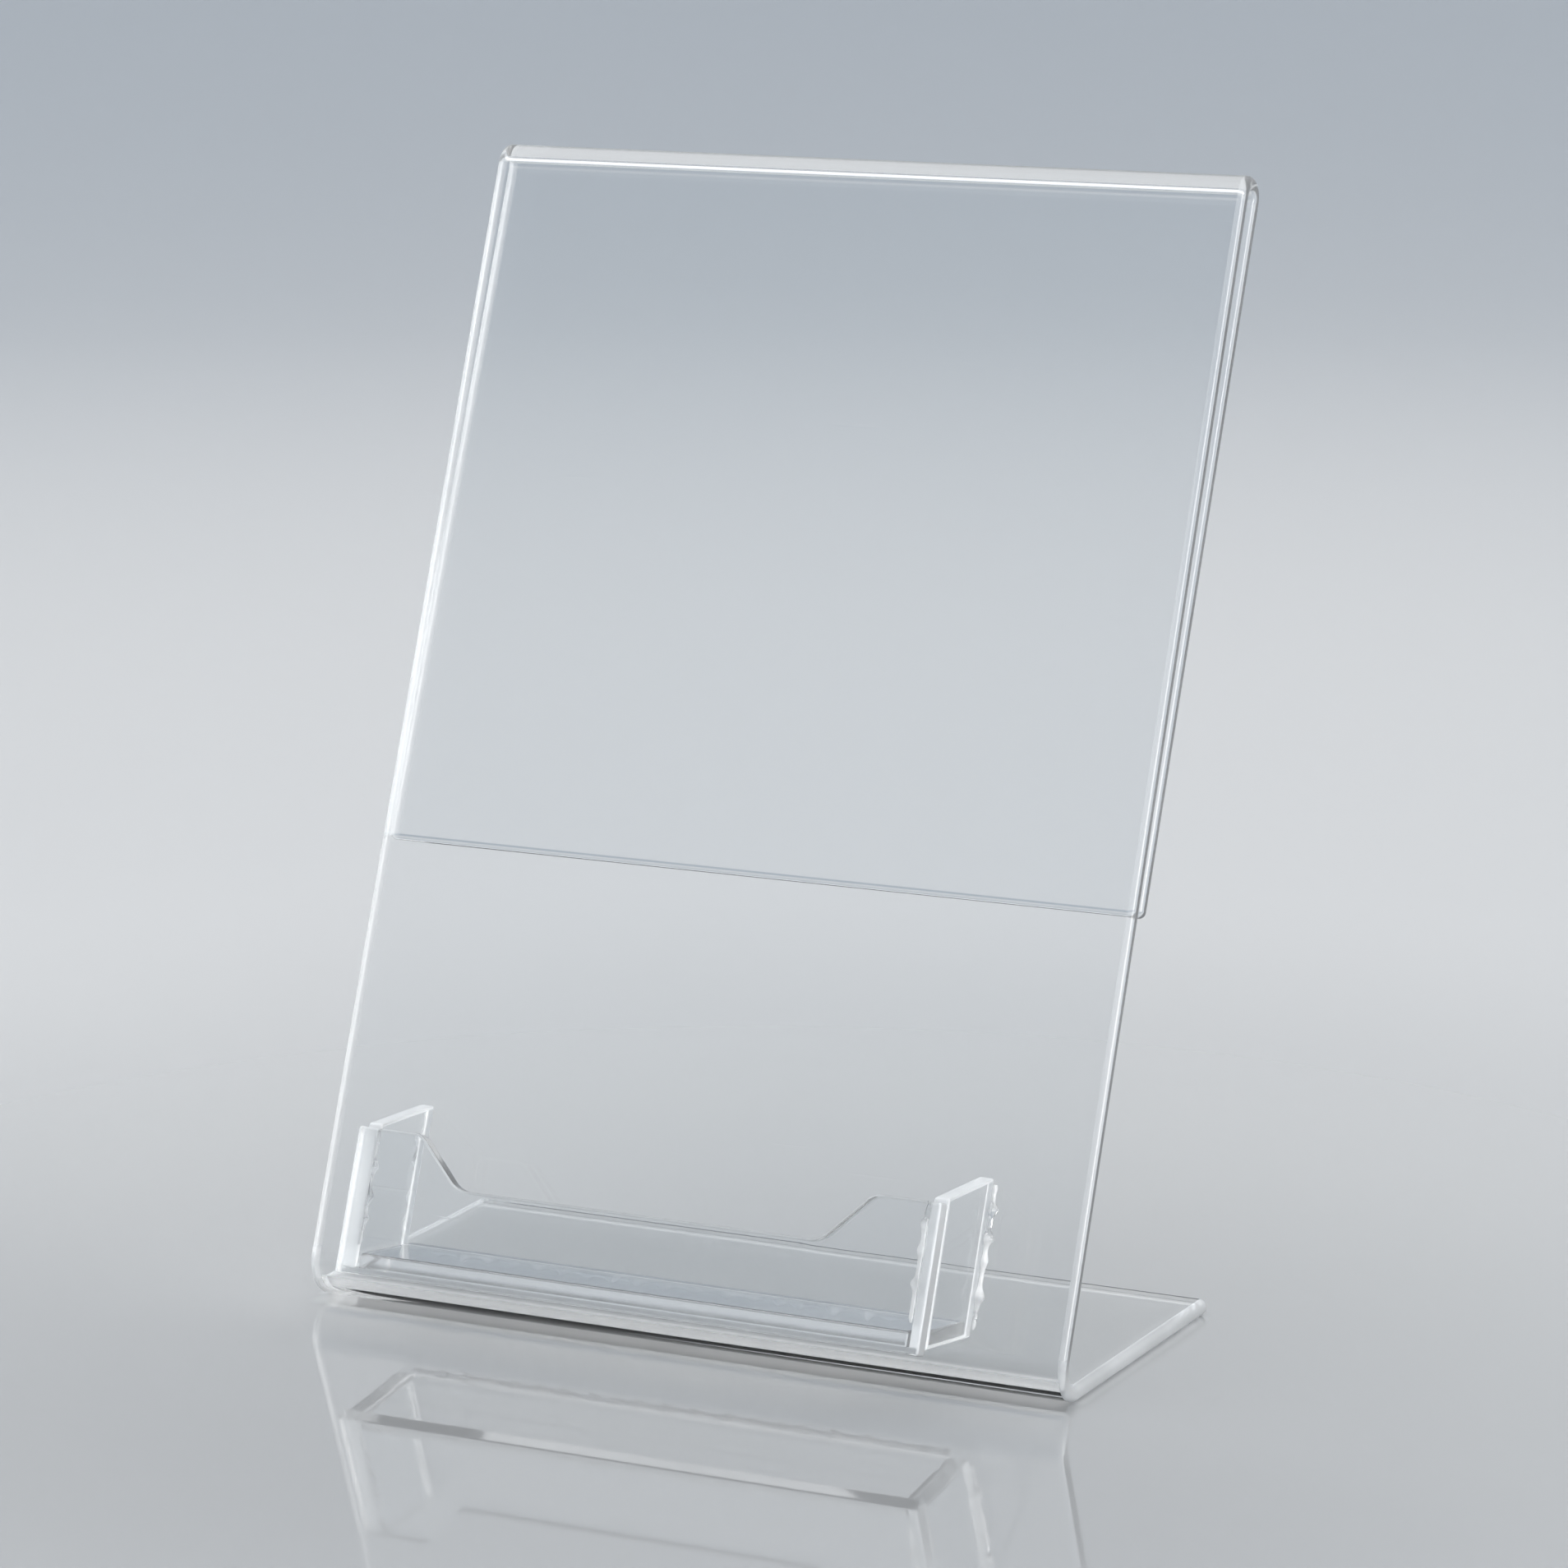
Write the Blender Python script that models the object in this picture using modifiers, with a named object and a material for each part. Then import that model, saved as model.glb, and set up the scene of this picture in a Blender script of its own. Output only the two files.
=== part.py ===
"""Clear acrylic stand for one upright print, with a card pocket cemented to its front.

The stand is one strip of sheet, bent along three lines: a flat foot that runs backwards, a front panel
that leans back over it, and a flap that is folded down behind the panel, so that a print slides in
between the two. The pocket is four plates of the same sheet, cemented together and to the panel.

Metres, +Z up. The front looks along -Y, +X is to the right, and the stand rests on Z = 0 with its
outline centred on X = 0 and Y = 0.
"""

import math

import bmesh
import bpy
from mathutils import Matrix, Vector

# Folded sheet
SHEET_WIDTH = 0.127            # across the front
SHEET_THICKNESS = 0.0025
PANEL_HEIGHT = 0.1863          # up the slope, from the sharp front corner to the top of the fold
PANEL_LEAN = math.radians(20.9)
FOOT_DEPTH = 0.0577            # from the sharp front corner to the free back edge of the foot
FRONT_BEND_RADIUS = 0.0034     # inside of the bend between foot and panel
TOP_FOLD_RADIUS = 0.0010       # inside of the fold at the top
FLAP_LENGTH = 0.1090           # straight part of the flap, below the fold
FLAP_END_GAP = 0.0004          # left between panel and flap at the flap's free edge
SHEET_EDGE_RADIUS = 0.0009     # flame-polished edges
FRONT_BEND_STEPS = 12
TOP_FOLD_STEPS = 16

# Card pocket
PLATE_THICKNESS = 0.0025
POCKET_WIDTH = 0.0966          # outside, across both side plates
POCKET_DEPTH = 0.0155          # inside, square to the panel
FLOOR_REAR_HEIGHT = 0.0121     # up the slope, to the floor's upper face where it meets the panel
FLOOR_RISE = math.radians(8.0)   # the floor climbs towards the front by this much from level
SIDE_REAR_HEIGHT = 0.0333      # up the slope, to the top of a side plate at the panel
SIDE_TOP_RISE = math.radians(2.7)
FRONT_FOOT_OVERLAP = 0.0002    # the front plate reaches this much below the floor's lower edge
NOTCH_DEPTH = 0.0076           # finger notch in the front plate
NOTCH_TOP_WIDTH = 0.0750
NOTCH_BOTTOM_WIDTH = 0.0600
NOTCH_TOP_RADIUS = 0.0025
NOTCH_BOTTOM_RADIUS = 0.0040
NOTCH_STEPS = 4
PLATE_EDGE_RADIUS = 0.0004

# Cement that is squeezed out of the joints
SEAM_LEG = 0.0012              # width of a seam's three-sided section
JOINT_GAP = 0.0003             # left between pieces that touch

# Finishes: colour with alpha, roughness
CLEAR_SHEET = ((0.86, 0.90, 0.93, 0.30), 0.04)
CLEAR_PLATE = ((0.88, 0.92, 0.95, 0.32), 0.05)
CLEAR_CEMENT = ((0.95, 0.97, 0.98, 0.55), 0.12)

# Worked out from the sizes above
FRONT_BEND_OUTSIDE = FRONT_BEND_RADIUS + SHEET_THICKNESS
TOP_FOLD_OUTSIDE = TOP_FOLD_RADIUS + SHEET_THICKNESS
POCKET_FRONT = POCKET_DEPTH + PLATE_THICKNESS
FLOOR_SLOPE = math.tan(PANEL_LEAN - FLOOR_RISE)      # fall of the floor, square to the panel
SIDE_TOP_SLOPE = math.tan(PANEL_LEAN - SIDE_TOP_RISE)
FLOOR_CUT = PLATE_THICKNESS / math.cos(PANEL_LEAN - FLOOR_RISE)
FRONT_PLATE_TOP = SIDE_REAR_HEIGHT - POCKET_FRONT * SIDE_TOP_SLOPE
FRONT_PLATE_BOTTOM = FLOOR_REAR_HEIGHT - FLOOR_CUT - POCKET_FRONT * FLOOR_SLOPE - FRONT_FOOT_OVERLAP
SIDE_INSIDE = POCKET_WIDTH / 2 - PLATE_THICKNESS     # X of a side plate's inner face

UP_PANEL = Vector((0, math.sin(PANEL_LEAN), math.cos(PANEL_LEAN)))
BEHIND_PANEL = Vector((0, math.cos(PANEL_LEAN), -math.sin(PANEL_LEAN)))


def front_corner():
    """Where the panel's front face would meet the ground, placed so that the outline is centred."""
    fold_centre = UP_PANEL * (PANEL_HEIGHT - TOP_FOLD_OUTSIDE) + BEHIND_PANEL * TOP_FOLD_OUTSIDE
    rearmost = max(fold_centre.y + TOP_FOLD_OUTSIDE, FOOT_DEPTH)
    foremost = (UP_PANEL * FRONT_PLATE_BOTTOM - BEHIND_PANEL * POCKET_FRONT).y
    return Vector((0, -(rearmost + foremost) / 2, 0))


CORNER = front_corner()


def clear_scene():
    for thing in list(bpy.data.objects):
        bpy.data.objects.remove(thing, do_unlink=True)


def make_collection(name):
    collection = bpy.data.collections.new(name)
    bpy.context.scene.collection.children.link(collection)
    return collection


def finish(name, look):
    """A clear material for one piece."""
    colour, roughness = look
    material = bpy.data.materials.new(name)
    material.use_nodes = True
    shader = material.node_tree.nodes["Principled BSDF"]
    shader.inputs["Base Color"].default_value = (*colour[:3], 1.0)
    shader.inputs["Alpha"].default_value = colour[3]
    shader.inputs["Roughness"].default_value = roughness
    shader.inputs["Metallic"].default_value = 0.0
    material.diffuse_color = colour
    return material


def arc(centre, radius, start, turn, steps):
    """Points on a circle in the Y-Z plane; an angle of 0 looks along +Y and grows towards +Z."""
    angles = (start + turn * step / steps for step in range(steps + 1))
    return [centre + Vector((0, math.cos(a), math.sin(a))) * radius for a in angles]


def sheet_profile():
    """The outer face of the folded sheet in the Y-Z plane, from the foot's back edge to the flap's end."""
    bend_reach = FRONT_BEND_OUTSIDE * math.tan((math.pi / 2 + PANEL_LEAN) / 2)
    bend_centre = CORNER + Vector((0, bend_reach, FRONT_BEND_OUTSIDE))
    bend = arc(bend_centre, FRONT_BEND_OUTSIDE, -math.pi / 2, -(math.pi / 2 + PANEL_LEAN), FRONT_BEND_STEPS)

    fold_centre = (CORNER + UP_PANEL * (PANEL_HEIGHT - TOP_FOLD_OUTSIDE)
                   + BEHIND_PANEL * TOP_FOLD_OUTSIDE)
    # The flap closes in on the panel from the width of the fold to its end gap.
    closing = math.atan((2 * TOP_FOLD_RADIUS - FLAP_END_GAP) / FLAP_LENGTH)
    fold_turn = -(math.pi + closing)
    fold = arc(fold_centre, TOP_FOLD_OUTSIDE, math.pi - PANEL_LEAN, fold_turn, TOP_FOLD_STEPS)

    flap_way = (-UP_PANEL * math.cos(closing) - BEHIND_PANEL * math.sin(closing)).normalized()
    foot_end = CORNER + Vector((0, FOOT_DEPTH, 0))
    return [foot_end, *bend, *fold, fold[-1] + flap_way * FLAP_LENGTH]


def folded_sheet(collection):
    """One strip of sheet: the profile swept across the width, thickened inwards, edges rounded."""
    strip = bmesh.new()
    ends = []
    for side in (-1, 1):
        across = Vector((side * SHEET_WIDTH / 2, 0, 0))
        ends.append([strip.verts.new(point + across) for point in sheet_profile()])
    left, right = ends
    for low in range(len(left) - 1):
        strip.faces.new((left[low], left[low + 1], right[low + 1], right[low]))
    bmesh.ops.recalc_face_normals(strip, faces=strip.faces)
    mesh = bpy.data.meshes.new("folded_sheet")
    strip.to_mesh(mesh)
    strip.free()

    sheet = bpy.data.objects.new("folded_sheet", mesh)
    collection.objects.link(sheet)
    mesh.materials.append(finish("clear_sheet", CLEAR_SHEET))
    # The sweep's faces look outwards where the foot's face looks down.
    outwards = mesh.polygons[0].normal.z < 0
    wall = sheet.modifiers.new("thickness", "SOLIDIFY")
    wall.thickness = SHEET_THICKNESS
    wall.offset = -1 if outwards else 1
    wall.use_even_offset = True
    rounding = sheet.modifiers.new("polished_edges", "BEVEL")
    rounding.width = SHEET_EDGE_RADIUS
    rounding.segments = 3
    rounding.limit_method = "ANGLE"
    rounding.angle_limit = math.radians(60)
    return sheet


def flat_outline(name, points, thickness, look, collection, edge=PLATE_EDGE_RADIUS):
    """A closed outline in the object's own X-Y plane, given its thickness half to each side."""
    outline = bpy.data.curves.new(name, "CURVE")
    outline.dimensions = "2D"
    outline.fill_mode = "BOTH"
    outline.extrude = thickness / 2
    spline = outline.splines.new("POLY")
    spline.points.add(len(points) - 1)
    for slot, (x, y) in zip(spline.points, points):
        slot.co = (x, y, 0, 1)
    spline.use_cyclic_u = True
    piece = bpy.data.objects.new(name, outline)
    collection.objects.link(piece)
    outline.materials.append(finish(f"{name}_clear", look))
    weld = piece.modifiers.new("close_caps", "WELD")
    weld.merge_threshold = 0.00001
    if edge:
        rounding = piece.modifiers.new("eased_edges", "BEVEL")
        rounding.width = edge
        rounding.segments = 2
        rounding.limit_method = "ANGLE"
        rounding.angle_limit = math.radians(60)
    return piece


def rounded(before, corner, after, radius, steps):
    """Replaces a corner of an outline by an arc that touches both of its sides."""
    before, corner, after = Vector(before), Vector(corner), Vector(after)
    to_before = (before - corner).normalized()
    to_after = (after - corner).normalized()
    half = to_before.angle(to_after) / 2
    centre = corner + (to_before + to_after).normalized() * radius / math.sin(half)
    first = corner + to_before * radius / math.tan(half) - centre
    last = corner + to_after * radius / math.tan(half) - centre
    turn = first.angle_signed(last)
    return [tuple(centre + Matrix.Rotation(-turn * step / steps, 2) @ first) for step in range(steps + 1)]


def notched_front():
    """Half outlines of the front plate are mirrored: ear, slanted side of the notch, low middle."""
    edge = POCKET_WIDTH / 2
    low = FRONT_PLATE_TOP - NOTCH_DEPTH
    ear_end = (NOTCH_TOP_WIDTH / 2, FRONT_PLATE_TOP)
    notch_end = (NOTCH_BOTTOM_WIDTH / 2, low)
    right = [(edge, FRONT_PLATE_BOTTOM), (edge, FRONT_PLATE_TOP)]
    right += rounded((edge, FRONT_PLATE_TOP), ear_end, notch_end, NOTCH_TOP_RADIUS, NOTCH_STEPS)
    right += rounded(ear_end, notch_end, (0, low), NOTCH_BOTTOM_RADIUS, NOTCH_STEPS)
    return right + [(-x, y) for x, y in reversed(right)]


def card_pocket(panel_face, collection):
    """Four plates, each set out square to the panel: X across, Y up the slope, Z away from its face."""

    def place(piece, location, turn=(0, 0, 0)):
        piece.parent = panel_face
        piece.location = location
        piece.rotation_euler = turn

    sideways = (0, -math.pi / 2, 0)       # outline X becomes away from the panel, Y stays up the slope
    upright = (math.pi / 2, 0, 0)         # outline X stays across, Y becomes away from the panel
    rear, fore = JOINT_GAP, POCKET_DEPTH - JOINT_GAP

    front = flat_outline("pocket_front", notched_front(), PLATE_THICKNESS, CLEAR_PLATE, collection)
    place(front, (0, 0, POCKET_DEPTH + PLATE_THICKNESS / 2))

    def floor_under(depth):
        return FLOOR_REAR_HEIGHT - FLOOR_CUT - depth * FLOOR_SLOPE

    def floor_over(depth):
        return FLOOR_REAR_HEIGHT - depth * FLOOR_SLOPE

    def side_top(depth):
        return SIDE_REAR_HEIGHT - depth * SIDE_TOP_SLOPE

    side_outline = [(rear, floor_under(rear)), (fore, floor_under(fore)),
                    (fore, side_top(fore)), (rear, side_top(rear))]
    for hand, name in ((-1, "left"), (1, "right")):
        side = flat_outline(f"pocket_side_{name}", side_outline, PLATE_THICKNESS, CLEAR_PLATE, collection)
        place(side, (hand * (SIDE_INSIDE + PLATE_THICKNESS / 2), 0, 0), sideways)

    floor_outline = [(rear, floor_under(rear)), (fore, floor_under(fore)),
                     (fore, floor_over(fore)), (rear, floor_over(rear))]
    floor_width = 2 * (SIDE_INSIDE - JOINT_GAP)
    floor = flat_outline("pocket_floor", floor_outline, floor_width, CLEAR_PLATE, collection)
    place(floor, (0, 0, 0), sideways)

    # Seams along the outside of the side plates, where they stand on the panel
    seam_low, seam_high = floor_under(0) + SEAM_LEG, side_top(0) - SEAM_LEG
    seam_length = seam_high - seam_low
    for hand, name in ((-1, "left"), (1, "right")):
        start = hand * (POCKET_WIDTH / 2 + JOINT_GAP)
        section = [(start, rear), (start + hand * SEAM_LEG, rear), (start, rear + SEAM_LEG)]
        seam = flat_outline(f"cement_seam_{name}", section, seam_length, CLEAR_CEMENT, collection, 0)
        place(seam, (0, (seam_low + seam_high) / 2, 0), upright)

    # Seam under the floor, where it stands on the panel
    under = floor_under(rear) - JOINT_GAP
    section = [(rear, under), (rear, under - SEAM_LEG), (rear + SEAM_LEG, under - SEAM_LEG * FLOOR_SLOPE)]
    seam = flat_outline("cement_seam_floor", section, floor_width, CLEAR_CEMENT, collection, 0)
    place(seam, (0, 0, 0), sideways)

    # Seams inside the pocket's front corners, standing on the floor
    corner_low = floor_over(fore) + SEAM_LEG
    corner_high = side_top(fore) - SEAM_LEG
    for hand, name in ((-1, "left"), (1, "right")):
        start = hand * (SIDE_INSIDE - JOINT_GAP)
        section = [(start, fore), (start - hand * SEAM_LEG, fore), (start, fore - SEAM_LEG)]
        seam = flat_outline(f"cement_seam_front_{name}", section, corner_high - corner_low, CLEAR_CEMENT,
                            collection, 0)
        place(seam, (0, (corner_low + corner_high) / 2, 0), upright)


def build():
    clear_scene()
    collection = make_collection("photo_stand")
    folded_sheet(collection)
    panel_face = bpy.data.objects.new("panel_face", None)
    collection.objects.link(panel_face)
    panel_face.location = CORNER
    panel_face.rotation_euler = (math.pi / 2 - PANEL_LEAN, 0, 0)
    card_pocket(panel_face, collection)


build()
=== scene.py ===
"""Looks of a clear acrylic stand: a sheet bent round one upright print, with a card pocket on its front.

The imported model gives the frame. Each section below makes one piece, or a group of like pieces, as a
workshop would: the studio first, then the bent sheet, the pocket's plates, and the cement that holds them.
"""

import math
import random

import bpy
from mathutils import Matrix, Vector


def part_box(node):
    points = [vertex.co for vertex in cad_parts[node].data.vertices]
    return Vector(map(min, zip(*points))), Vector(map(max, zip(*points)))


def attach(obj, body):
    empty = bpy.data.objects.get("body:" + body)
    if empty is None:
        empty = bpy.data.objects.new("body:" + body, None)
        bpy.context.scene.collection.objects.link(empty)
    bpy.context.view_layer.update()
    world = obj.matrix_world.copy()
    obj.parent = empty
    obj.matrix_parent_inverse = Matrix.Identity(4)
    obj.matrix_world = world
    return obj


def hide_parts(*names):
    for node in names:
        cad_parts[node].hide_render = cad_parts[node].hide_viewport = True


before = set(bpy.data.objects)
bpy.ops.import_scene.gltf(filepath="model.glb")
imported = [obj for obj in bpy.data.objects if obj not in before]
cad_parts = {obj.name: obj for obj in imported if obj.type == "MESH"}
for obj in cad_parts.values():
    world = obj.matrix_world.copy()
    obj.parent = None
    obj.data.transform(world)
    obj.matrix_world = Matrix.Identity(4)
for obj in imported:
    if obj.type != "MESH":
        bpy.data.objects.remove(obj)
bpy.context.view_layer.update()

# ---------------------------------------------------------------------------------------------------------
# Studio: a pale, glossy table top that runs out into a round cove, a soft sky above, a soft box overhead and
# a strip lamp on each hand. The camera is a long lens from a little above, turned to the stand's right side.
# ---------------------------------------------------------------------------------------------------------
scene = bpy.context.scene
scene.view_settings.view_transform = "Standard"

camera_data = bpy.data.cameras.new("camera")
camera = bpy.data.objects.new("camera", camera_data)
scene.collection.objects.link(camera)
camera_data.lens = 128.0
camera_data.sensor_width = 36.0
camera_data.clip_start = 0.01
camera_data.clip_end = 20.0
camera_pitch = math.radians(11.3)
camera_turn = math.radians(26.42)
camera_distance = 0.8273
camera_aim = Vector((0.0097, -0.0085, 0.0847))
camera_away = Vector((math.sin(camera_turn) * math.cos(camera_pitch),
                      -math.cos(camera_turn) * math.cos(camera_pitch),
                      math.sin(camera_pitch)))
camera.location = camera_aim + camera_away * camera_distance
camera.rotation_euler = (-camera_away).to_track_quat("-Z", "Y").to_euler()
scene.camera = camera


class Strand:
    """One output in a material's nodes. Sums and products of strands add Math nodes to the material."""

    def __init__(self, material, socket=None):
        self.material = material
        self.socket = socket

    def node(self, kind, settings=None, inputs=None, output=0):
        """Adds any node: first its settings, then its inputs, by name or number, from values or strands."""
        made = self.material.node_tree.nodes.new(kind)
        for name, value in (settings or {}).items():
            setattr(made, name, value)
        for name, value in (inputs or {}).items():
            if isinstance(value, Strand):
                self.material.node_tree.links.new(value.socket, made.inputs[name])
            else:
                made.inputs[name].default_value = value
        return Strand(self.material, made.outputs[output])

    def maths(self, operation, *values):
        """Adds a Math node."""
        return self.node("ShaderNodeMath", {"operation": operation}, dict(enumerate(values)))

    def __add__(self, other):
        return self.maths("ADD", self, other)

    def __sub__(self, other):
        return self.maths("SUBTRACT", self, other)

    def __mul__(self, other):
        return self.maths("MULTIPLY", self, other)

    def __radd__(self, other):
        return self.maths("ADD", other, self)

    def __rsub__(self, other):
        return self.maths("SUBTRACT", other, self)

    def __rmul__(self, other):
        return self.maths("MULTIPLY", other, self)

    def between(self, low, high):
        """0 below low, 1 above high, smooth in between."""
        return self.node("ShaderNodeMapRange", {"interpolation_type": "SMOOTHSTEP"},
                         {"Value": self, "From Min": low, "From Max": high}, 0)


def new_material(name):
    """An empty material, its output node, and a strand to build from."""
    material = bpy.data.materials.new(name)
    material.use_nodes = True
    material.node_tree.nodes.clear()
    output = material.node_tree.nodes.new("ShaderNodeOutputMaterial")
    return material, output, Strand(material)


def send(strand, output):
    strand.material.node_tree.links.new(strand.socket, output.inputs["Surface"])


# Where the bent sheet touches the table: a line under its front bend, and the back edge of its foot.
sheet_low, sheet_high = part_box("folded_sheet")
sheet_thickness = 0.0025
bend_radius = 0.0034 + sheet_thickness
touch_line = sheet_low.y + bend_radius
foot_back = sheet_low.y + 0.055


def table_top():
    """A round patch of pale lacquer fading into matt paint, darkened towards blue-grey by painted shade
    outwards, upwards and before the stand.

    The lacquer is paler behind the stand than before it. It is palest in two narrow wedges, under the front
    bend and along the foot's sides, in place of the light that clear acrylic gathers there.
    """
    material, output, make = new_material("pale_table_top")
    place = make.node("ShaderNodeTexCoord", output="Object")
    across, depth, height = (make.node("ShaderNodeSeparateXYZ", {}, {"Vector": place}, axis)
                             for axis in range(3))
    sideways = across.maths("ABSOLUTE", across)
    reach = make.node("ShaderNodeVectorMath", {"operation": "LENGTH"}, {"Vector": place}, "Value")
    drift = make.node("ShaderNodeTexNoise", {}, {"Vector": place, "Scale": 1.3, "Detail": 2.0})
    backwards = depth.between(-0.12, 0.16) * 0.85 + drift * 0.15
    lacquer = make.node("ShaderNodeMix", {"data_type": "RGBA"},
                        {"Factor": backwards, "A": (0.49, 0.495, 0.50, 1), "B": (0.75, 0.75, 0.745, 1)}, 2)
    before_bend = depth.between(touch_line - 0.007, touch_line - 0.002)
    under_bend = before_bend * (1 - depth.between(touch_line, touch_line + 0.003))
    front_wedge = under_bend * (1 - sideways.between(sheet_high.x - 0.003, sheet_high.x + 0.001))
    under_rim = sideways.between(sheet_high.x - 0.004, sheet_high.x - 0.001)
    beside_rim = under_rim * (0.6 - sideways.between(sheet_high.x, sheet_high.x + 0.0015) * 0.6)
    along_foot = depth.between(touch_line - 0.003, touch_line)
    along_foot = along_foot * (1 - depth.between(foot_back - 0.007, foot_back))
    gathered = front_wedge.maths("MAXIMUM", front_wedge, beside_rim * along_foot)
    lit_lacquer = make.node("ShaderNodeMix", {"data_type": "RGBA"},
                            {"Factor": gathered, "A": lacquer, "B": (0.97, 0.97, 0.97, 1)}, 2)
    matt = reach.between(0.08, 0.32)
    paint = make.node("ShaderNodeMix", {"data_type": "RGBA"},
                      {"Factor": matt, "A": lit_lacquer, "B": (0.80, 0.80, 0.80, 1)}, 2)
    # Painted shade on the cove: the paint darkens towards blue-grey low on the far floor and walls, further
    # up the walls, and most on the wall before the stand.
    near = 1 - depth.between(-2.1, -0.8)
    horizon = reach.between(0.5, 1.9) * (1 - height.between(0.12, 0.40))
    painted_cove_shade = near * 0.6 + (1 - near) * (horizon * 0.55 + height.between(0.4, 1.4) * 0.30)
    colour = make.node("ShaderNodeMix", {"data_type": "RGBA"},
                       {"Factor": painted_cove_shade, "A": paint, "B": (0.22, 0.29, 0.37, 1)}, 2)
    peel = make.node("ShaderNodeTexNoise", {}, {"Vector": place, "Scale": 60.0, "Detail": 1.0})
    bump = make.node("ShaderNodeBump", {}, {"Strength": 0.04, "Distance": 0.0001, "Height": peel})
    surface = make.node("ShaderNodeBsdfPrincipled", {},
                        {"Base Color": colour, "Roughness": 0.04 + matt * 0.6, "IOR": 1.5,
                         "Coat Weight": 1 - matt, "Coat Roughness": 0.03, "Coat IOR": 1.6,
                         "Normal": bump})
    send(surface, output)
    return material


floor_radius = 1.3
cove_radius = 0.9
wall_height = 0.9
floor_points = 96
cove_steps = 14
air_gap = 0.0001
bpy.ops.object.select_all(action="DESELECT")
bpy.ops.mesh.primitive_circle_add(vertices=floor_points, radius=floor_radius, location=(0, 0, -air_gap),
                                  fill_type="NGON")
cove = bpy.context.object
cove.name = "studio_floor"
bpy.ops.object.transform_apply(location=True, rotation=True, scale=True)
bpy.ops.object.mode_set(mode="EDIT")
bpy.ops.mesh.select_mode(type="EDGE")
bpy.ops.mesh.select_all(action="SELECT")
bpy.ops.mesh.region_to_loop()
for step in range(cove_steps):
    last = math.pi / 2 * step / cove_steps
    turn = math.pi / 2 * (step + 1) / cove_steps
    before = floor_radius + cove_radius * math.sin(last)
    after = floor_radius + cove_radius * math.sin(turn)
    rise = cove_radius * (math.cos(last) - math.cos(turn))
    bpy.ops.mesh.extrude_edges_move(TRANSFORM_OT_translate={"value": (0, 0, rise)})
    bpy.ops.transform.resize(value=(after / before, after / before, 1))
bpy.ops.mesh.extrude_edges_move(TRANSFORM_OT_translate={"value": (0, 0, wall_height)})
bpy.ops.mesh.select_all(action="SELECT")
bpy.ops.mesh.normals_make_consistent(inside=True)
bpy.ops.object.mode_set(mode="OBJECT")
bpy.ops.object.shade_smooth_by_angle(angle=math.radians(40))
cove.data.materials.append(table_top())

world = bpy.data.worlds.new("soft_sky")
scene.world = world
world.use_nodes = True
sky = world.node_tree.nodes["Background"]
sky.inputs["Color"].default_value = (0.96, 0.98, 1.0, 1)
sky.inputs["Strength"].default_value = 1.14

lit_pieces = bpy.data.collections.new("lit_by_lamps")
shading_pieces = bpy.data.collections.new("casting_lamp_shadows")
lamp_target = Vector((0, 0, 0.06))


def soft_box(name, location, size, power, colour, mirrored):
    """A lamp for the stand alone, so that the table keeps the sky's even tone. Clear plates don't stop it.

    Where it isn't mirrored, it lights cloudy edges and cement, but clear faces don't show its image.
    """
    lamp_data = bpy.data.lights.new(name, "AREA")
    lamp_data.shape = "RECTANGLE"
    lamp_data.size, lamp_data.size_y = size
    lamp_data.energy = power
    lamp_data.color = colour
    lamp = bpy.data.objects.new(name, lamp_data)
    scene.collection.objects.link(lamp)
    lamp.light_linking.receiver_collection = lit_pieces
    lamp.light_linking.blocker_collection = shading_pieces
    lamp.visible_glossy = mirrored
    lamp.visible_transmission = mirrored
    lamp.location = location
    lamp.rotation_euler = (lamp_target - Vector(location)).to_track_quat("-Z", "Y").to_euler()


strip_size = (0.26, 0.80)
soft_box("overhead_box", (0.1, 0.35, 1.3), (0.90, 0.60), 1.5, (1.0, 0.99, 0.97), mirrored=True)
soft_box("right_strip", (1.05, -0.35, 0.42), strip_size, 8.0, (1.0, 0.99, 0.97), mirrored=True)
soft_box("left_strip", (-1.05, -0.10, 0.42), strip_size, 9.0, (0.97, 0.99, 1.0), mirrored=False)

# ---------------------------------------------------------------------------------------------------------
# Bent sheet: one strip of clear cast acrylic, warmed along two lines and bent: foot, leaning panel, and a
# flap folded down behind the panel. Its sawn edges are flame-polished, which rounds and clouds them.
# ---------------------------------------------------------------------------------------------------------
sheet_width = sheet_high.x - sheet_low.x
panel_lean = math.radians(20.9)
foot_depth = 0.0577
fold_inside = 0.0010
fold_radius = fold_inside + sheet_thickness
flap_length = 0.1090
flap_end_gap = 0.0004
flap_closing = math.atan((2 * fold_inside - flap_end_gap) / flap_length)
bend_steps = 96
fold_steps = 96
rim_radius = 0.0011
rim_segments = 6
weld = 1e-6

up_panel = Vector((0, math.sin(panel_lean), math.cos(panel_lean)))
behind_panel = Vector((0, math.cos(panel_lean), -math.sin(panel_lean)))
bend_reach = bend_radius * math.tan((math.pi / 2 + panel_lean) / 2)
front_corner = Vector((0, sheet_low.y + bend_radius - bend_reach, 0))
bend_centre = front_corner + Vector((0, bend_reach, bend_radius))
fold_height = (sheet_high.z - fold_radius * (1 - math.sin(panel_lean))) / math.cos(panel_lean)
fold_centre = front_corner + up_panel * fold_height + behind_panel * fold_radius


def edit(piece):
    bpy.ops.object.select_all(action="DESELECT")
    piece.select_set(True)
    bpy.context.view_layer.objects.active = piece
    bpy.ops.object.mode_set(mode="EDIT")


def leave():
    bpy.ops.object.mode_set(mode="OBJECT")


def settle(piece):
    """Puts the piece's place and turn into its mesh."""
    bpy.ops.object.select_all(action="DESELECT")
    piece.select_set(True)
    bpy.context.view_layer.objects.active = piece
    bpy.ops.object.transform_apply(location=True, rotation=True, scale=True)


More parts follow.
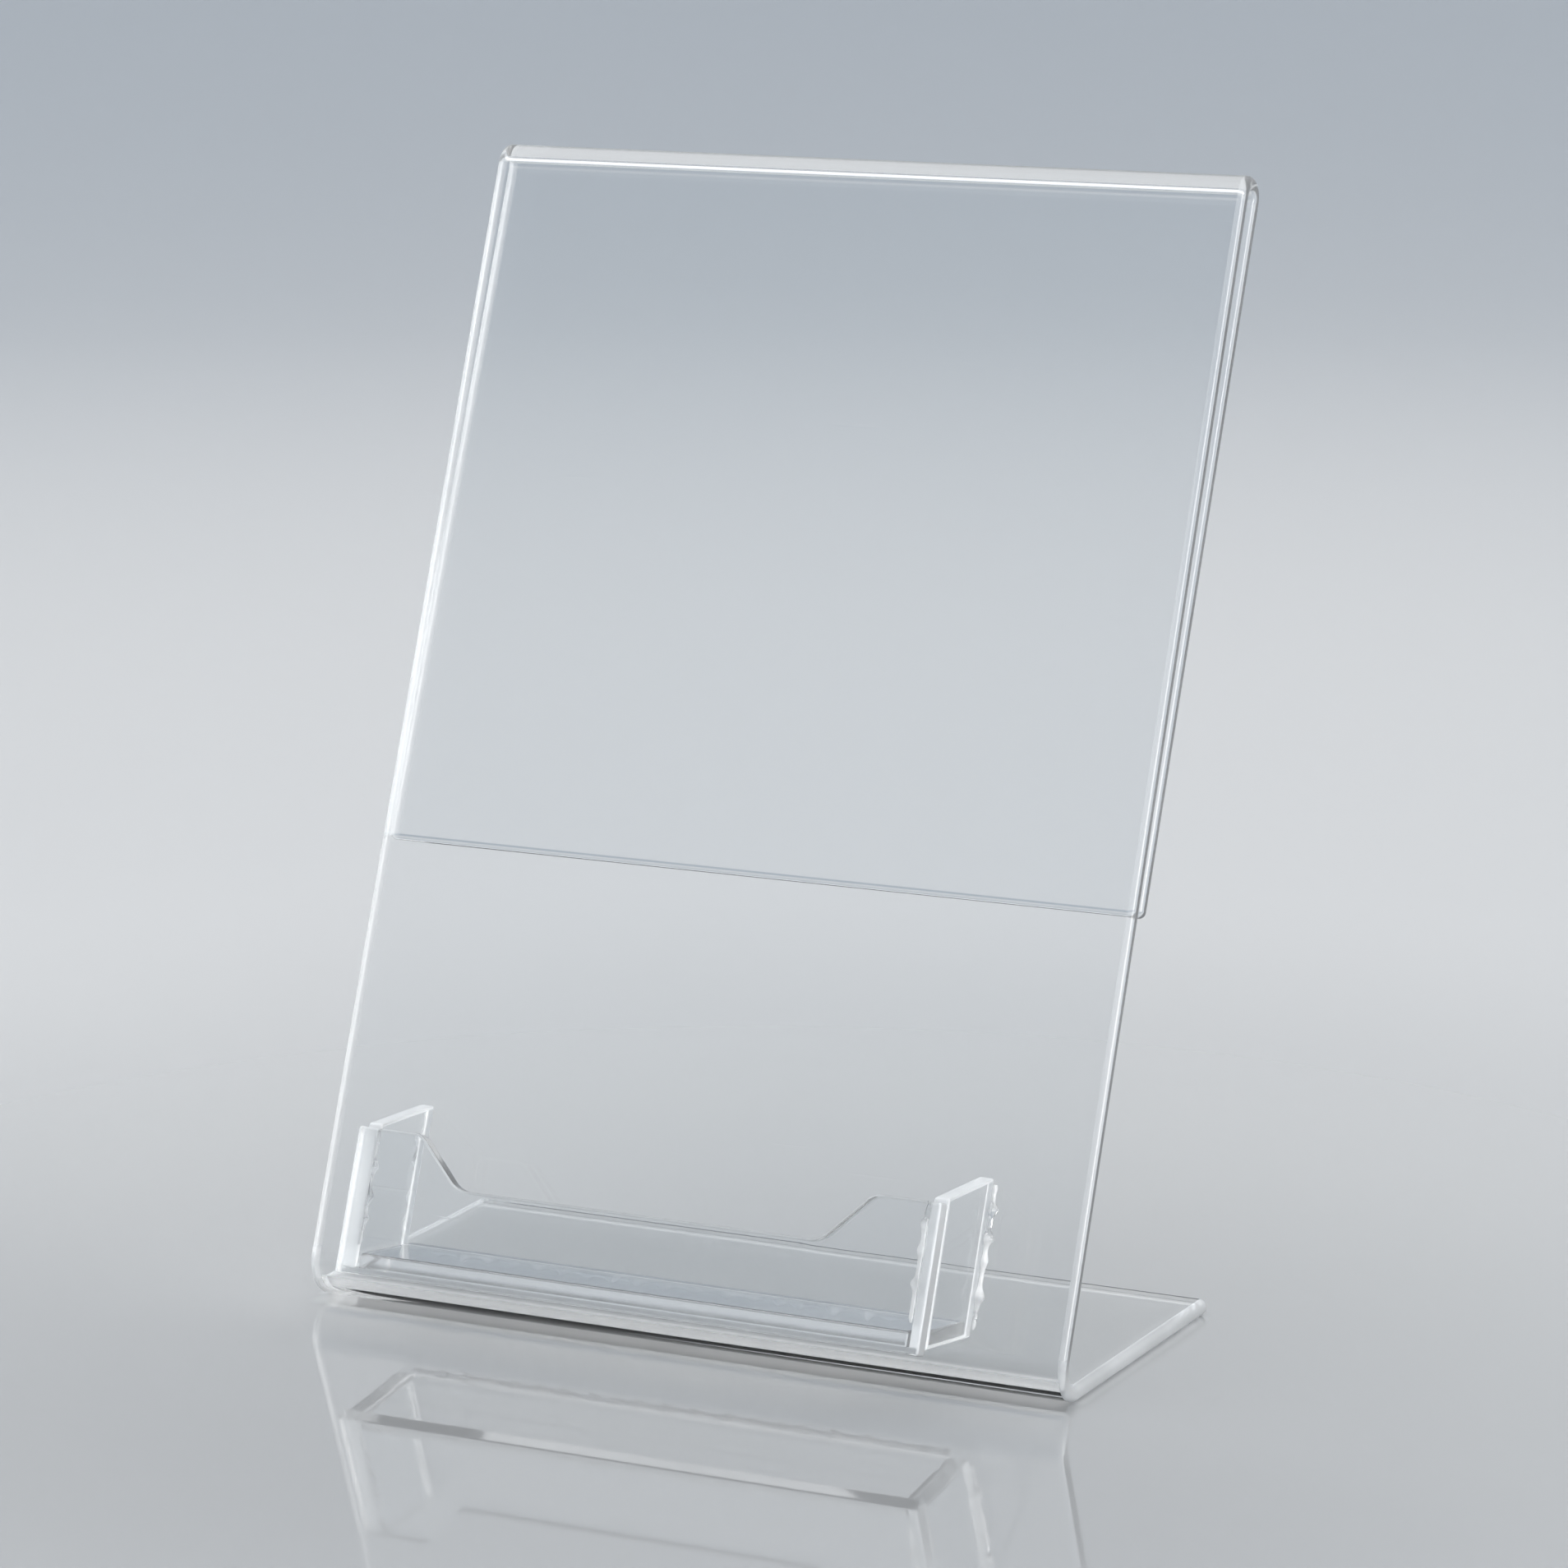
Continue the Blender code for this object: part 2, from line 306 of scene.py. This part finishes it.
def polish(piece, radius, segments):
    """Rounds every sharp edge, and keeps the flat faces optically flat."""
    rounding = piece.modifiers.new("polished_edges", "BEVEL")
    rounding.width = radius
    rounding.segments = segments
    rounding.limit_method = "ANGLE"
    rounding.angle_limit = math.radians(50)
    bpy.context.view_layer.objects.active = piece
    bpy.ops.object.modifier_apply(modifier=rounding.name)
    bpy.ops.object.select_all(action="DESELECT")
    piece.select_set(True)
    bpy.ops.object.shade_smooth()
    flat = piece.modifiers.new("flat_faces", "WEIGHTED_NORMAL")
    flat.mode = "FACE_AREA"
    flat.weight = 100
    bpy.ops.object.modifier_apply(modifier=flat.name)


acrylic_ior = 1.49
sheet_tint = (0.985, 0.993, 0.997)
edge_tint = (0.98, 0.99, 0.995)


def clear_acrylic(name, tint, wave_height):
    """Clear cast sheet: water-clear, with faint wiping haze, a few hairline scratches and dulled specks."""
    material, output, make = new_material(name)
    place = make.node("ShaderNodeTexCoord", output="Object")
    haze_noise = make.node("ShaderNodeTexNoise", {}, {"Vector": place, "Scale": 28.0, "Detail": 4.0,
                                                      "Roughness": 0.62, "Distortion": 0.6})
    haze = haze_noise.between(0.52, 0.80)
    stretched = make.node("ShaderNodeMapping", {}, {"Vector": place, "Rotation": (0.3, 0.5, 0.2),
                                                    "Scale": (30.0, 900.0, 700.0)})
    hair_noise = make.node("ShaderNodeTexNoise", {}, {"Vector": stretched, "Scale": 1.0, "Detail": 1.0})
    hairs = hair_noise.between(0.79, 0.82)
    dust_cells = make.node("ShaderNodeTexVoronoi", {"feature": "F1"},
                           {"Vector": place, "Scale": 330.0, "Randomness": 1.0}, "Distance")
    patchy = make.node("ShaderNodeTexNoise", {}, {"Vector": place, "Scale": 45.0, "Detail": 2.0})
    dust = (1 - dust_cells.between(0.05, 0.09)) * patchy.between(0.55, 0.70)
    wave = make.node("ShaderNodeTexNoise", {}, {"Vector": place, "Scale": 17.0, "Detail": 1.0})
    ripple = make.node("ShaderNodeBump", {}, {"Strength": 1.0, "Distance": wave_height, "Height": wave})
    scored = make.node("ShaderNodeBump", {}, {"Strength": 0.3, "Distance": 0.00001, "Height": hairs,
                                              "Normal": ripple})
    clear = make.node("ShaderNodeBsdfPrincipled", {},
                      {"Base Color": (*tint, 1), "IOR": acrylic_ior, "Transmission Weight": 1.0,
                       "Roughness": haze * 0.035 + hairs * 0.12 + dust * 0.10, "Normal": scored})
    send(clear, output)
    return material


def clouded_edge(name, tint, cloud, low_cloud=0.0):
    """Flame-polished saw cut: glossy but milky, with the saw's faint ripples, milkier close to the table."""
    material, output, make = new_material(name)
    place = make.node("ShaderNodeTexCoord", output="Object")
    saw = make.node("ShaderNodeTexNoise", {}, {"Vector": place, "Scale": 420.0, "Detail": 2.0})
    patches = make.node("ShaderNodeTexNoise", {}, {"Vector": place, "Scale": 60.0, "Detail": 3.0})
    ripple = make.node("ShaderNodeBump", {}, {"Strength": 0.5, "Distance": 0.00004, "Height": saw})
    clear = make.node("ShaderNodeBsdfPrincipled", {},
                      {"Base Color": (*tint, 1), "IOR": acrylic_ior, "Transmission Weight": 1.0,
                       "Roughness": 0.10 + patches * 0.20, "Normal": ripple})
    milk = make.node("ShaderNodeBsdfPrincipled", {},
                     {"Base Color": (0.93, 0.95, 0.97, 1), "Roughness": 0.22, "Normal": ripple})
    height = make.node("ShaderNodeSeparateXYZ", {}, {"Vector": place}, 2)
    scuffs = (1 - height.between(0.002, 0.010)) * (patches * 0.8 + 0.6) * low_cloud
    clouding = scuffs + cloud * 0.75 + patches * (cloud * 0.5)
    send(make.node("ShaderNodeMixShader", {}, {0: clouding, 1: clear, 2: milk}), output)
    return material


# The strip starts as the end face of the foot, and is drawn out, bent, drawn out and folded.
bpy.ops.object.select_all(action="DESELECT")
bpy.ops.mesh.primitive_plane_add(size=1, location=front_corner + Vector((0, foot_depth, sheet_thickness / 2)),
                                 rotation=(math.pi / 2, 0, 0))
sheet = bpy.context.object
sheet.name = "bent_sheet"
sheet.scale = (sheet_width, sheet_thickness, 1)
settle(sheet)
edit(sheet)
bpy.ops.mesh.select_all(action="SELECT")
foot_way = Vector((0, bend_reach - foot_depth, 0))
bpy.ops.mesh.extrude_region_move(TRANSFORM_OT_translate={"value": foot_way})
bpy.ops.mesh.spin(steps=bend_steps, angle=math.pi / 2 + panel_lean, center=bend_centre, axis=(1, 0, 0))
panel_way = up_panel * (fold_height - bend_reach)
bpy.ops.mesh.extrude_region_move(TRANSFORM_OT_translate={"value": panel_way})
bpy.ops.mesh.spin(steps=fold_steps, angle=math.pi + flap_closing, center=fold_centre, axis=(1, 0, 0))
flap_way = -up_panel * math.cos(flap_closing) - behind_panel * math.sin(flap_closing)
bpy.ops.mesh.extrude_region_move(TRANSFORM_OT_translate={"value": flap_way * flap_length})
bpy.ops.mesh.select_all(action="SELECT")
bpy.ops.mesh.remove_doubles(threshold=weld)
bpy.ops.mesh.normals_make_consistent(inside=False)
leave()
polish(sheet, rim_radius, rim_segments)
sheet.data.materials.append(clear_acrylic("sheet_acrylic", sheet_tint, 0.000006))
sheet.data.materials.append(clouded_edge("sheet_edge", edge_tint, 0.20, 0.34))
edge_start = sheet_width / 2 - rim_radius
for face in sheet.data.polygons:
    if abs(face.center.x) > edge_start:
        face.material_index = 1
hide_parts("folded_sheet")
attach(sheet, "root")
lit_pieces.objects.link(sheet)

# ---------------------------------------------------------------------------------------------------------
# Pocket front: a plate of the same sheet, cut with a wide finger notch between two ears, and cemented to the
# front of the side plates and the floor. It is set out flat (across, up the slope, away from the panel), and
# then leaned with the panel.
# ---------------------------------------------------------------------------------------------------------
panel_face = Matrix(((1, 0, 0, 0),
                     (0, up_panel.y, -behind_panel.y, front_corner.y),
                     (0, up_panel.z, -behind_panel.z, front_corner.z),
                     (0, 0, 0, 1)))


def along_panel(node):
    """A CAD node's lowest and highest corner as set out on the panel: across, up the slope, away from it."""
    back = panel_face.inverted()
    places = [back @ vertex.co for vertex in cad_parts[node].data.vertices]
    return (Vector([min(place[i] for place in places) for i in range(3)]),
            Vector([max(place[i] for place in places) for i in range(3)]))


def pick(piece, wanted):
    """Selects the vertices that the test wants, with the edges and faces between them."""
    bpy.ops.mesh.select_mode(type="VERT")
    bpy.ops.mesh.select_all(action="DESELECT")
    leave()
    for vertex in piece.data.vertices:
        vertex.select = wanted(vertex.co)
    bpy.ops.object.mode_set(mode="EDIT")


def lean(piece):
    """Moves a piece that was set out flat to its place on the panel."""
    piece.matrix_world = panel_face
    settle(piece)


def dress_plate(piece, flat_way, clear, edges):
    """Clear on the plate's two broad faces, and the cut-edge finish on all that turns away from them."""
    piece.data.materials.append(clear)
    piece.data.materials.append(edges)
    for face in piece.data.polygons:
        if abs(face.normal.dot(flat_way)) < 0.97:
            face.material_index = 1


plate_clear = clear_acrylic("plate_acrylic", sheet_tint, 0.000004)
notch_edge = clouded_edge("notch_edge", edge_tint, 0.12)
cemented_edge = clouded_edge("cemented_edge", edge_tint, 0.50)
plate_easing = 0.0004
easing_segments = 3
notch_depth = 0.0076
notch_top_width = 0.0750
notch_low_width = 0.0600
ear_rounding = 0.0025
notch_rounding = 0.0040
nearly = 1e-5

front_low, front_high = along_panel("pocket_front")
notch_low = front_high.y - notch_depth
bpy.ops.object.select_all(action="DESELECT")
bpy.ops.mesh.primitive_plane_add(size=1, location=(0, (front_low.y + notch_low) / 2, front_low.z))
front = bpy.context.object
front.name = "pocket_front_plate"
front.scale = (notch_low_width, notch_low - front_low.y, 1)
settle(front)
edit(front)
for hand in (-1, 1):
    pick(front, lambda co: abs(co.x - hand * notch_low_width / 2) < nearly)
    ear_way = (hand * (front_high.x - notch_low_width / 2), 0, 0)
    bpy.ops.mesh.extrude_edges_move(TRANSFORM_OT_translate={"value": ear_way})
    pick(front, lambda co: hand * co.x > notch_low_width / 2 - nearly and co.y > notch_low - nearly)
    bpy.ops.mesh.extrude_edges_move(TRANSFORM_OT_translate={"value": (0, notch_depth, 0)})
    pick(front, lambda co: abs(co.x - hand * notch_low_width / 2) < nearly and co.y > notch_low + nearly)
    slant_way = (hand * (notch_top_width - notch_low_width) / 2, 0, 0)
    bpy.ops.transform.translate(value=slant_way)
slant = math.atan2(notch_depth, (notch_top_width - notch_low_width) / 2)
bpy.ops.mesh.select_all(action="SELECT")
bpy.ops.mesh.normals_make_consistent(inside=False)
bpy.ops.mesh.dissolve_faces()
pick(front, lambda co: abs(abs(co.x) - notch_top_width / 2) < nearly)
bpy.ops.mesh.bevel(offset=ear_rounding * math.tan(slant / 2), segments=6, affect="VERTICES")
pick(front, lambda co: abs(abs(co.x) - notch_low_width / 2) < nearly and co.y > notch_low - nearly)
bpy.ops.mesh.bevel(offset=notch_rounding * math.tan(slant / 2), segments=8, affect="VERTICES")
bpy.ops.mesh.select_all(action="SELECT")
bpy.ops.mesh.extrude_region_move(TRANSFORM_OT_translate={"value": (0, 0, front_high.z - front_low.z)})
bpy.ops.mesh.select_all(action="SELECT")
bpy.ops.mesh.normals_make_consistent(inside=False)
leave()
polish(front, plate_easing, easing_segments)
dress_plate(front, Vector((0, 0, 1)), plate_clear, notch_edge)
front.data.materials.append(cemented_edge)
for face in front.data.polygons:
    if abs(face.center.x) > front_high.x - plate_easing:
        face.material_index = 2
lean(front)
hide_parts("pocket_front")
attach(front, "root")
lit_pieces.objects.link(front)

# ---------------------------------------------------------------------------------------------------------
# Pocket sides: a sawn plate on each hand, cemented edge-on to the panel. Its top falls towards the front
# plate, and its foot follows the floor.
# ---------------------------------------------------------------------------------------------------------
side_top_fall = math.tan(math.radians(18.2))
floor_fall = math.tan(math.radians(12.9))


def slanted_plate(name, node, top_fall, foot_fall):
    """A block set out in the CAD node's place, with its top and its foot falling towards the front."""
    low, high = along_panel(node)
    bpy.ops.object.select_all(action="DESELECT")
    bpy.ops.mesh.primitive_cube_add(size=1, location=(low + high) / 2)
    plate = bpy.context.object
    plate.name = name
    plate.scale = high - low
    settle(plate)
    edit(plate)
    middle = (low + high) / 2
    pick(plate, lambda co: co.y > middle.y and co.z > middle.z)
    bpy.ops.transform.translate(value=(0, (low.z - high.z) * top_fall, 0))
    pick(plate, lambda co: co.y < middle.y and co.z < middle.z)
    bpy.ops.transform.translate(value=(0, (high.z - low.z) * foot_fall, 0))
    leave()
    polish(plate, plate_easing, easing_segments)
    return plate


for hand in ("left", "right"):
    side = slanted_plate(f"pocket_{hand}_plate", f"pocket_side_{hand}", side_top_fall, floor_fall)
    dress_plate(side, Vector((1, 0, 0)), plate_clear, cemented_edge)
    lean(side)
    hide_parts(f"pocket_side_{hand}")
    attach(side, "root")
    lit_pieces.objects.link(side)

# ---------------------------------------------------------------------------------------------------------
# Pocket floor: a long sawn plate, cemented between the sides. It climbs a little from the panel to the
# front, so that cards lean back against the panel.
# ---------------------------------------------------------------------------------------------------------
floor_plate = slanted_plate("pocket_floor_plate", "pocket_floor", floor_fall, floor_fall)
dress_plate(floor_plate, Vector((0, 1, floor_fall)).normalized(), plate_clear, notch_edge)
lean(floor_plate)
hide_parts("pocket_floor")
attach(floor_plate, "root")
lit_pieces.objects.link(floor_plate)

# ---------------------------------------------------------------------------------------------------------
# Cement: solvent cement run into the joints with a needle. It has swelled out in uneven beads, clear but
# full of small bubbles, outside each side plate, in both front corners and under the floor.
# ---------------------------------------------------------------------------------------------------------
bead_radius = 0.0009
bead_step = 0.0004
bead_corners = 32
cut_tolerance = 1e-7


def bubbly_cement():
    """Set cement: clear and glossy, clouded in places, with bubbles that show as fine pits and sparks."""
    material, output, make = new_material("set_cement")
    place = make.node("ShaderNodeTexCoord", output="Object")
    cells = make.node("ShaderNodeTexVoronoi", {"feature": "F1"},
                      {"Vector": place, "Scale": 900.0, "Randomness": 1.0}, "Distance")
    bubbles = 1 - cells.between(0.12, 0.30)
    lumps = make.node("ShaderNodeTexNoise", {}, {"Vector": place, "Scale": 380.0, "Detail": 3.0})
    swell = make.node("ShaderNodeBump", {}, {"Strength": 0.5, "Distance": 0.00008, "Height": lumps})
    pits = make.node("ShaderNodeBump", {"invert": True}, {"Strength": 0.5, "Distance": 0.00005,
                                                          "Height": bubbles, "Normal": swell})
    cloud = make.node("ShaderNodeTexNoise", {}, {"Vector": place, "Scale": 150.0, "Detail": 2.0})
    clear = make.node("ShaderNodeBsdfPrincipled", {},
                      {"Base Color": (0.99, 0.995, 1.0, 1), "Roughness": 0.03 + cloud * 0.10, "IOR": 1.47,
                       "Transmission Weight": 1.0, "Normal": pits})
    milk = make.node("ShaderNodeBsdfPrincipled", {},
                     {"Base Color": (0.96, 0.97, 0.98, 1), "Roughness": 0.12, "Normal": pits})
    send(make.node("ShaderNodeMixShader", {}, {0: cloud.between(0.30, 0.70) * 0.75, 1: clear, 2: milk}),
         output)
    return material


cement = bubbly_cement()


def cement_bead(name, node, corner, run, faces):
    """A lumpy quarter-round thread, anchored in the corner between the two faces that it has wetted."""
    chance = random.Random(node)
    low, high = along_panel(node)
    length = (high - low).dot(run)
    start = Vector([low[i] if run[i] else corner[i] for i in range(3)])
    lumps = []
    reached = 0.0
    while reached < length:
        reached += chance.uniform(0.0032, 0.0058)
        lumps.append((reached, chance.uniform(0.0007, 0.0011), chance.uniform(0.30, 0.80)))

    def radius(along):
        """The thread's radius at this distance from its start. Its ends taper off."""
        swelling = sum(rise * math.exp(-((along - centre) / spread) ** 2) for centre, spread, rise in lumps)
        ends = min(1.0, (min(along, length - along) + 0.0002) / 0.0010)
        return bead_radius * (0.52 + swelling) * math.sqrt(ends)

    bpy.ops.object.select_all(action="DESELECT")
    bpy.ops.mesh.primitive_circle_add(vertices=bead_corners, radius=radius(0), fill_type="NGON",
                                      location=start, rotation=run.to_track_quat("Z", "Y").to_euler())
    bead = bpy.context.object
    bead.name = name
    settle(bead)
    edit(bead)
    for face_way in faces:
        bpy.ops.mesh.select_all(action="SELECT")
        bpy.ops.mesh.bisect(plane_co=corner, plane_no=face_way, clear_inner=True, threshold=cut_tolerance)
    bpy.ops.mesh.select_all(action="SELECT")
    bpy.ops.mesh.remove_doubles(threshold=weld)
    steps = round(length / bead_step)
    bpy.ops.mesh.select_all(action="SELECT")
    for step in range(steps):
        bpy.ops.mesh.extrude_region_move(TRANSFORM_OT_translate={"value": run * (length / steps)})
        before = radius(length * step / steps)
        after = radius(length * (step + 1) / steps)
        bpy.ops.transform.resize(value=(after / before,) * 3,
                                 center_override=start + run * (length * (step + 1) / steps))
    bpy.ops.mesh.select_all(action="SELECT")
    bpy.ops.mesh.normals_make_consistent(inside=False)
    leave()
    bpy.ops.object.select_all(action="DESELECT")
    bead.select_set(True)
    bpy.ops.object.shade_smooth_by_angle(angle=math.radians(60))
    bead.data.materials.append(cement)
    lean(bead)
    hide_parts(node)
    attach(bead, "root")
    lit_pieces.objects.link(bead)
    shading_pieces.objects.link(bead)


across = Vector((1, 0, 0))
up = Vector((0, 1, 0))
away = Vector((0, 0, 1))
side_low, side_high = along_panel("pocket_side_right")
wet = 0.00005
for hand, side_name in ((-1, "left"), (1, "right")):
    cement_bead(f"cement_outside_{side_name}", f"cement_seam_{side_name}",
                Vector((hand * (side_high.x + wet), 0, wet)), up, (across * hand, away))
    cement_bead(f"cement_corner_{side_name}", f"cement_seam_front_{side_name}",
                Vector((hand * (side_low.x - wet), 0, front_low.z - wet)), up, (-across * hand, -away))
under_high = along_panel("cement_seam_floor")[1]
cement_bead("cement_under_floor", "cement_seam_floor", Vector((0, under_high.y, wet)), across, (away, -up))
